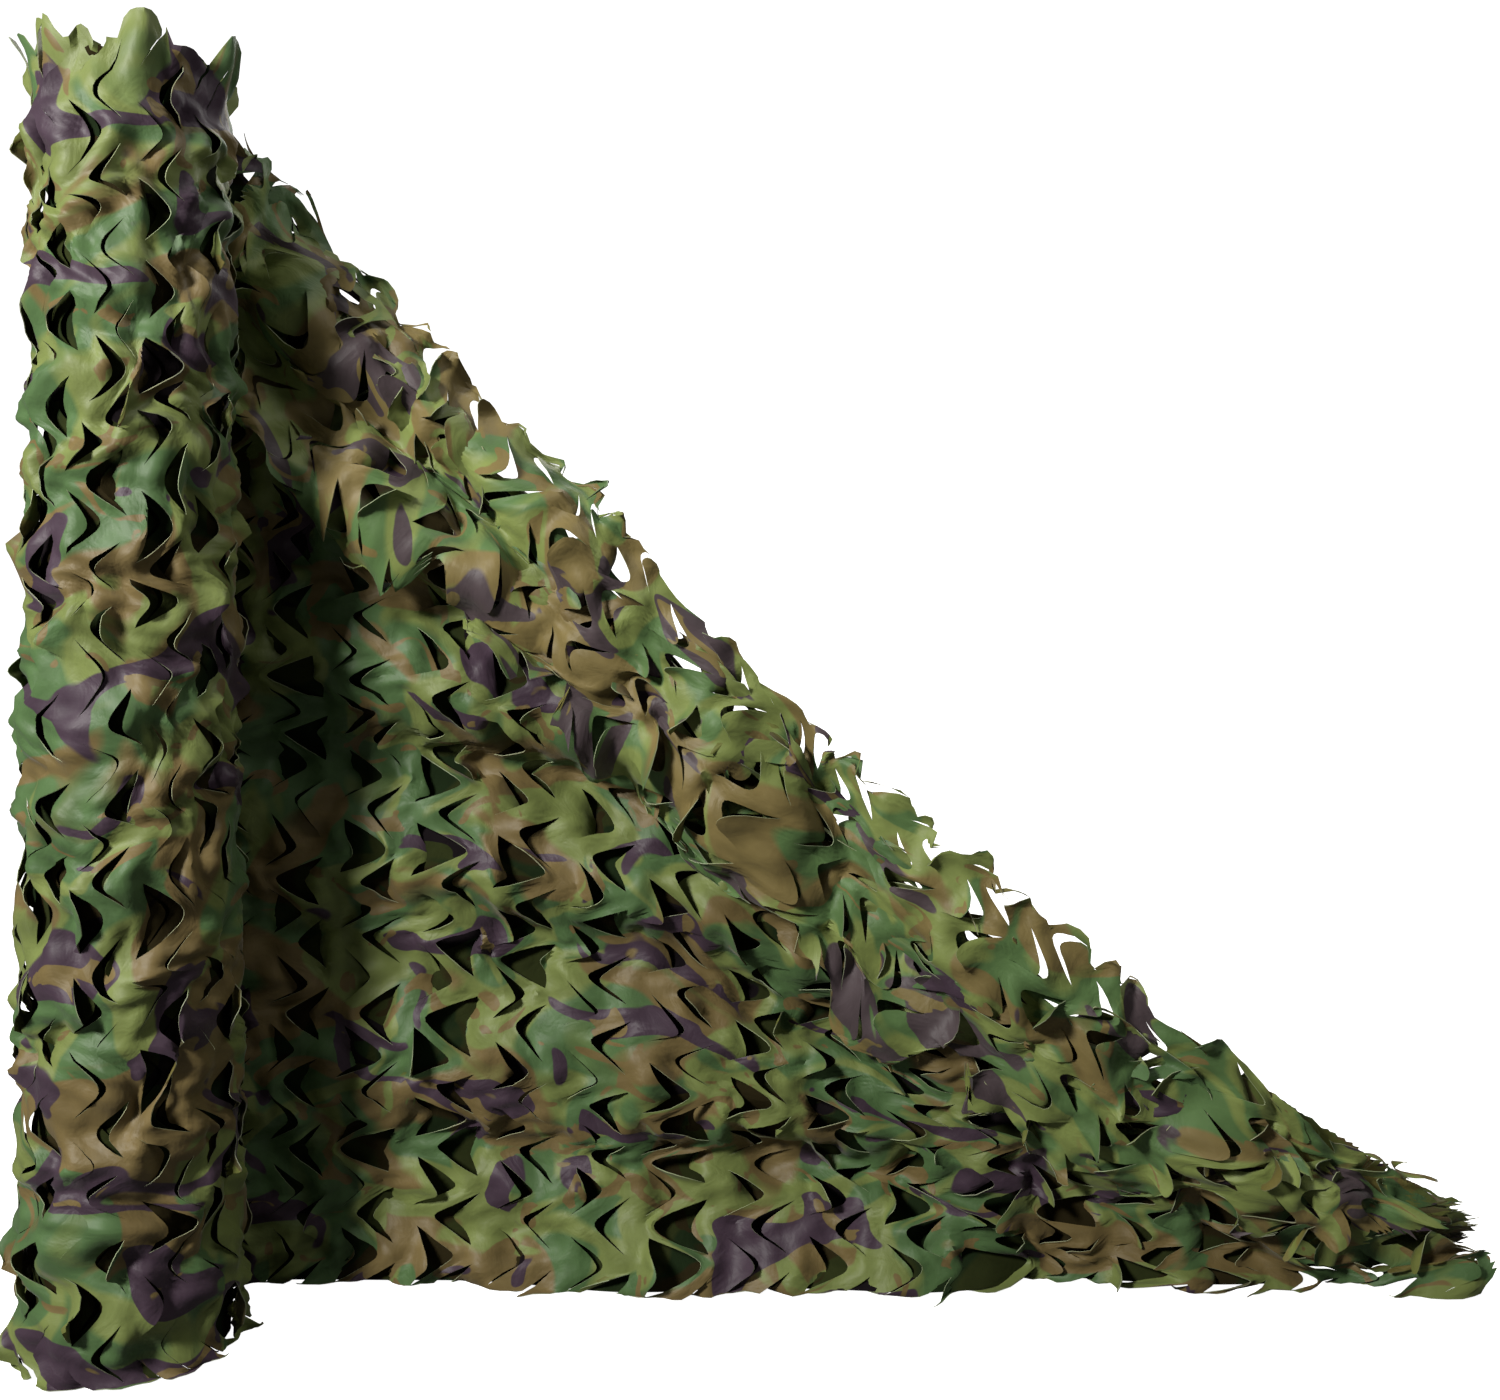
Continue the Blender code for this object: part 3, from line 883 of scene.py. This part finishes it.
def pleat_mood(line, bend, noise):
    """Leaves of the pleats, as seen from behind: they hang out of the back."""
    return mood_of(0.011, (-0.35, 0.30), (-0.26, 0.14), noise, 0.10)


def backing_mood(line, bend, noise):
    """Leaves of the ply behind: nearly shut, so that it closes the view through the front ply's slits."""
    return mood_of(0.004, (-0.10, 0.35), (-0.05, 0.05), noise)


def declare_drawn(piece):
    """Attach a piece of the drawn-out end to the root, and hide the solids' loose end."""
    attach(piece, "root")
    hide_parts("loose_end")


def build_front(front, materials):
    """The front of the drawn-out end."""

    def front_off(distance, height):
        share = height / (top_edge(distance) + 0.01)
        ridges = np.sin(2.0 * pi * (3.6 * share + 0.25 * np.sin(5.0 * distance)))
        ridges = ridges * smooth_step(0.55, 1.1, distance)
        free = smooth_step(0.0, 0.6, distance) * tip_fade(distance)
        rolling = (DRAWN_SWELLS.at(distance, height) + 0.010 * ridges) * free
        return rolling + 0.003 + hem_reach(distance, height)

    def front_trim(distance):
        under_band = 0.040 * smooth_step(0.10, 0.40, distance)
        return -0.02 + 0.0 * distance, top_edge(distance) - 0.006 - under_band

    def front_keep(distance, height, points):
        return distance < TIP_DISTANCE - 0.012 + 0.020 * np.sin(70.0 * height)

    net = net_piece(
        "loose_end_front", LeafCut(-1, 17, 11, (0.09, 0.20)), front, drawn_mood, materials, front_off,
        (0.0, 0.016), keep=front_keep, height=drawn_height, trim=front_trim, creases=(0.0080, 0.0028),
        warp=0.008,
    )
    declare_drawn(net)


def build_band(front, materials):
    """The band along the front's top edge. Its cloth is lighter and yellower, as painted light shining
    through it.
    """
    lobes = Lobes(71, 0.046, 0.046)
    under = Lobes(73, 0.080, 0.080)

    def band_off(run, level):
        leaning = lobes.lean(run) * smooth_step(BAND_DEPTH - 0.015, BAND_DEPTH + 0.03, level)
        rolling = 0.010 * np.sin(2.0 * pi * level / 0.19 + 9.0 * run)
        return DRAWN_SWELLS.at(run, level) + rolling + leaning + 0.026 - 0.030 * level / BAND_DEPTH

    def band_trim(run):
        fading = 1.0 - 0.75 * smooth_step(1.55, 2.0, run)
        sunk = 0.008 * smooth_step(1.60, 1.90, run) + 0.020 * (1.0 - smooth_step(0.20, 0.40, run))
        return under.at(run) + 0.010, BAND_DEPTH - 0.004 - sunk + 0.8 * lobes.at(run) * fading

    def band_keep(run, level, points):
        return (run > 0.10 + 0.05 * np.sin(40.0 * level)) & (run < 2.12 + 0.04 * np.sin(55.0 * level))

    band = net_piece(
        "loose_end_top_band", LeafCut(-1, 23, 19, (0.18, 0.20), BAND_FOOT - 1), EdgeBand(front), band_mood,
        materials, band_off, (0.0, 0.0), keep=band_keep, height=band_height, trim=band_trim,
        creases=(0.0080, 0.0026), warp=0.016,
    )
    declare_drawn(band)


def build_roll(outward, shaded):
    """The roll: its outer turn, then the turn under that and the wound netting inside, which take the
    near-black painted shade.
    """
    columns = round(2.0 * pi * ROLL_RADIUS / ROLL_PITCH)
    swells = Ripples(5, 0.003, (0.15, 0.07))

    def outer_off(distance, cloth):
        return swells.at(distance, cloth) - 0.004 - 0.003 * smooth_step(0.5, 1.5, cloth)

    outer = net_piece(
        "roll_outer_turn", LeafCut(-columns - 1, 0, 5, (0.17, 0.17), 0, 0.020), WoundTurn(ROLL_AXIS, 0.004),
        roll_mood, outward, outer_off, (0.035, 0.016), creases=(0.0085, 0.0030), warp=0.016, flaps=TOP_FLAPS,
        print_shift=(1.30, 0.90),
    )

    def inner_off(distance, cloth):
        return -0.021 - 0.003 * smooth_step(0.5, 1.5, cloth)

    inner = net_piece(
        "roll_inner_turn", LeafCut(-columns - 1, 0, 8, (0.16, 0.16)), WoundTurn(ROLL_AXIS, 0.0),
        inner_mood, shaded, inner_off, (0.02, 0.0),
    )
    core = build_core(shaded)
    for piece in (outer, inner, core):
        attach(piece, "root")
        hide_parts("roll")


def build_core(materials):
    """The wound netting under the outer turns: a ragged spiral. build_roll gives it the near-black painted
    shade.
    """
    turns, per_turn = 14, 30
    step, inset, deepest_rag = 0.0072, 0.030, 0.016
    top_rows = 5  # only these are built past the first turn
    heights = np.concatenate((np.linspace(0.0, 1.44, 13), [1.47, 1.487, 1.500]))
    noise = np.random.default_rng(3)
    count = turns * per_turn + 1
    rag = deepest_rag * noise.random(count // 3 + 2)
    rag = np.interp(np.arange(count), np.arange(0, count + 3, 3), rag)
    rows = len(heights)
    places, cloth, faces = [], [], []
    travelled = 0.0
    for i in range(count):
        angle = SEAT_START - 2.0 * pi * i / per_turn
        for height in heights:
            top = smooth_step(1.40, 1.50, height)
            radius = wound_radius(angle, height) - inset - 0.004 * smooth_step(0.5, 1.5, height)
            radius = max(radius - step * i / per_turn, 0.004)
            level = height + top * (rag[i] - deepest_rag)
            places.append((radius * cos(angle) + ROLL_AXIS[0], radius * sin(angle) + ROLL_AXIS[1], level))
            cloth.append((travelled, height))
        travelled += radius * 2.0 * pi / per_turn
    for i in range(count - 1):
        low = 0 if i < per_turn + 2 else rows - top_rows
        faces += quads(range(i * rows + low, i * rows + rows - 1), rows)
    used, renumbered = np.unique(np.array(faces), return_inverse=True)
    faces = renumbered.reshape(-1, 4).tolist()
    thing = make_piece("roll_core_turns", np.array(places)[used], faces, np.array(cloth)[used], materials)
    give_thickness(thing)
    return thing


# ---- behind the front ----


class BehindFront:
    """The pleated sheet, kept behind the front."""

    def __init__(self, sheet, front, gap):
        self.sheet, self.front, self.gap = sheet, front, gap

    def point(self, distance, cloth, lift):
        points = self.sheet.point(distance, cloth, lift)
        behind = self.front.middle(distance, points[:, 2])[:, 1]
        behind = behind + self.gap * smooth_step(-0.01, 0.10, distance)
        points[:, 1] = np.where(distance < 0.0, points[:, 1], np.maximum(points[:, 1], behind))
        return points


def build_pleats(sheet, front, materials):
    """The pleats of the drawn-out end, behind its front."""

    def pleat_keep(distance, cloth, points):
        below = 0.045 * smooth_step(0.02, 0.10, distance) + 0.055 * smooth_step(0.25, 0.5, distance)
        return (points[:, 2] < top_edge(distance) - below) & (distance < PLEATS_END)

    pleats = net_piece(
        "loose_end_pleats", LeafCut(-1, 17, 31, (0.10, 0.10)), BehindFront(sheet, front, 0.036), pleat_mood,
        materials, flush, (0.0, 0.0), shift=-0.5, keep=pleat_keep, creases=(0.0050, 0.0020),
    )
    declare_drawn(pleats)


def build_tip(sheet, front, materials):
    """The bunched cut end."""

    def tip_keep(distance, cloth, points):
        ragged = 0.010 * np.sin(31.0 * cloth) + 0.006 * np.sin(83.0 * cloth + 1.0)
        behind = points[:, 1] - front.middle(distance, points[:, 2])[:, 1]
        below = points[:, 2] + 0.30 * behind < top_edge(distance) - 0.004
        return below & (distance >= TIP_START) & (distance < TIP_DISTANCE + 0.010 + ragged)

    tip = net_piece(
        "loose_end_tip", LeafCut(10, 18, 37, (0.16, 0.16)), BehindFront(sheet, front, 0.010), backing_mood,
        materials, flush, (0.0, 0.0), keep=tip_keep,
    )
    declare_drawn(tip)


def build_inner_ply(front, shaded):
    """An inner ply, left uncut and in the near-black painted shade, that closes the view through the front's
    slits below the top edge.
    """
    across = np.linspace(-0.02, 1.44, 74)
    shares = np.linspace(0.0, 1.0, 60)
    lowest, least_top = 0.003, 0.03
    distance = np.repeat(across, len(shares))
    share = np.tile(shares, len(across))
    top = top_edge(distance) - 0.02 - 0.035 * smooth_step(0.02, 0.10, distance)
    top = top - 0.050 * smooth_step(0.15, 0.45, distance)
    height = lowest + (np.maximum(top, least_top) - lowest) * share
    spread = smooth_step(-0.02, 0.12, distance) * (0.40 + 0.60 * smooth_step(0.20, 0.45, distance))
    behind = (0.004 + 0.016 * smooth_step(0.0, 0.05, height)) * spread + 0.001
    points = front.point(distance, height, hem_reach(distance, height) - behind)
    rows = len(shares)
    starts = [i * rows + j for i in range(len(across) - 1) for j in range(rows - 1)]
    cloth = np.stack([distance, height], axis=1)
    ply = make_piece("loose_end_inner_ply", points, quads(starts, rows), cloth, shaded)
    give_thickness(ply)
    declare_drawn(ply)


# ---- floor, light and camera ----

LAMPS = (  # name, place, aim, size and power
    ("key", (-2.08, -2.25, 2.12), (-0.2, 0.0, 0.55), 0.55, 158.0),
    ("top", (0.65, -0.25, 2.7), (0.35, 0.0, 0.4), 1.4, 20.0),
    ("front fill", (1.4, -3.4, 1.4), (0.2, 0.0, 0.4), 2.0, 1.5),
    ("back softbox", (0.2, 3.2, 3.6), (0.1, 0.0, 0.6), 3.0, 110.0),
)
LAMP_COLOUR = (1.0, 0.985, 0.94)
SKY_COLOUR = (0.97, 0.98, 1.0, 1.0)
SKY_LIGHT = 0.03
WHITE = (1.0, 1.0, 1.0, 1.0)
FLOOR_DROP = 0.0008  # the floor lies this much under height 0


def light_world(tree):
    """White behind everything, and a softer light on the object."""
    shown = tree.nodes["Background"]
    shown.inputs[0].default_value = WHITE
    shown.inputs[1].default_value = 1.0
    lit = node(tree, "Background", i0=SKY_COLOUR, i1=SKY_LIGHT)
    mixed = node(tree, "MixShader", i0=seen_by_camera(tree), i1=lit, i2=shown.outputs[0])
    tree.links.new(mixed, tree.nodes["World Output"].inputs[0])


def floor_material():
    """White to the camera, and dim to the light that it throws back at the net."""
    material, tree, surface = new_material("pale floor")
    seen = seen_by_camera(tree)
    pale = mix_colour(tree, seen, (0.10, 0.10, 0.10, 1.0), (0.93, 0.93, 0.93, 1.0))
    tree.links.new(pale, surface.inputs["Base Color"])
    tree.links.new(seen, surface.inputs["Emission Strength"])
    surface.inputs["Emission Color"].default_value = WHITE
    surface.inputs["Roughness"].default_value = 0.8
    return material


def build_floor():
    """A pale floor that curves up into a back wall."""
    bend = [0.05 * pi * k for k in range(1, 11)]
    profile = [(-6.0, 0.0), (3.0, 0.0)]
    profile += [(3.0 + 2.0 * sin(turn), 2.0 - 2.0 * cos(turn)) for turn in bend]
    profile += [(5.0, 8.0)]
    points = [(x, y, z - FLOOR_DROP) for y, z in profile for x in (-9.0, 9.0)]
    faces = [(2 * k, 2 * k + 1, 2 * k + 3, 2 * k + 2) for k in range(len(profile) - 1)]
    mesh = bpy.data.meshes.new("floor")
    mesh.from_pydata(points, [], faces)
    mesh.shade_smooth()
    mesh.materials.append(floor_material())
    add_object("floor", mesh)


def build_lights():
    """Soft lights, and a pale world."""
    world = bpy.data.worlds.new("studio")
    bpy.context.scene.world = world
    world.use_nodes = True
    light_world(world.node_tree)
    for name, place, aim, size, power in LAMPS:
        lamp = bpy.data.lights.new(name, "AREA")
        lamp.size = size
        lamp.energy = power
        lamp.color = LAMP_COLOUR
        thing = add_object(name, lamp)
        thing.location = place
        thing.rotation_euler = (Vector(aim) - Vector(place)).to_track_quat("-Z", "Y").to_euler()


def build_camera():
    """The photograph's camera."""
    view = bpy.data.cameras.new("photo view")
    view.lens = CAMERA_LENS
    view.sensor_width = 36.0
    view.sensor_fit = "HORIZONTAL"
    view.shift_y = CAMERA_DROP
    camera = add_object("photo view", view)
    camera.location = Vector(ROLL_AXIS) + Vector(CAMERA_FROM_AXIS)
    camera.rotation_euler = (0.5 * pi, 0.0, 0.0)
    bpy.context.scene.camera = camera
    bpy.context.scene.view_settings.view_transform = "Standard"


# Cloth: name, plain colour and how far the print turns towards it, roughness, sheen, gloss and a factor of
# painted light.
FACE = ("netting face", (0.0, 0.0, 0.0, 1.0), 0.0, 0.52, 0.1)
BACK = ("netting back", (0.110, 0.105, 0.018, 1.0), 0.55, 0.58, 0.05)
# pale cut edges: partly the cloth's own pale core, partly a painted highlight where light catches the rims of
# the slits
CUT_EDGE_WITH_HIGHLIGHT = ("netting cut edge, pale with painted highlight", (0.34, 0.38, 0.24, 1.0), 0.6, 0.6, 0.0)
# painted shade: the print turned almost black, for netting deep in the roll and behind the front's slits,
# where little light reaches
SHADED = ("inner netting painted dark as shade", (0.002, 0.0025, 0.0015, 1.0), 0.86, 0.9, 0.0, 0.03)
# painted light: lighter, yellower copies of the face and back for the top band, standing in for light shining
# through the thin cloth
PAINTED_LIT_FACE = ("netting face with painted light through it", (0.190, 0.240, 0.055, 1.0), 0.05, 0.52, 0.1, 0.26, 1.20)
PAINTED_LIT_BACK = ("netting back with painted light through it", (0.130, 0.150, 0.022, 1.0), 0.40, 0.58, 0.05, 0.26, 1.10)


def main():
    groups = {"print": woodland_group(), "weave": weave_group()}
    face, back, edge = (cloth_material(groups, *look) for look in (FACE, BACK, CUT_EDGE_WITH_HIGHLIGHT))
    shaded = cloth_material(groups, *SHADED)
    painted_lit_cloth = [cloth_material(groups, *look) for look in (PAINTED_LIT_FACE, PAINTED_LIT_BACK)]
    sheet = DrawnSheet(ROLL_AXIS)
    front = FrontFall(sheet)
    build_front(front, [face, back, edge])
    # the top band takes the painted-light copies of the cloth
    build_band(front, [*painted_lit_cloth, edge])
    # a near-black sheet of painted shade behind the front's slits
    build_inner_ply(front, [shaded] * 3)
    # the pleats' side towards the camera takes the near-black painted shade, their back the printed face
    build_pleats(sheet, front, [shaded, face, edge])
    build_tip(sheet, front, [back, face, edge])
    # the roll's inner turn and core in the near-black painted shade
    build_roll([back, face, edge], [shaded] * 3)
    bpy.ops.object.select_all(action="DESELECT")
    build_floor()
    build_lights()
    build_camera()


main()
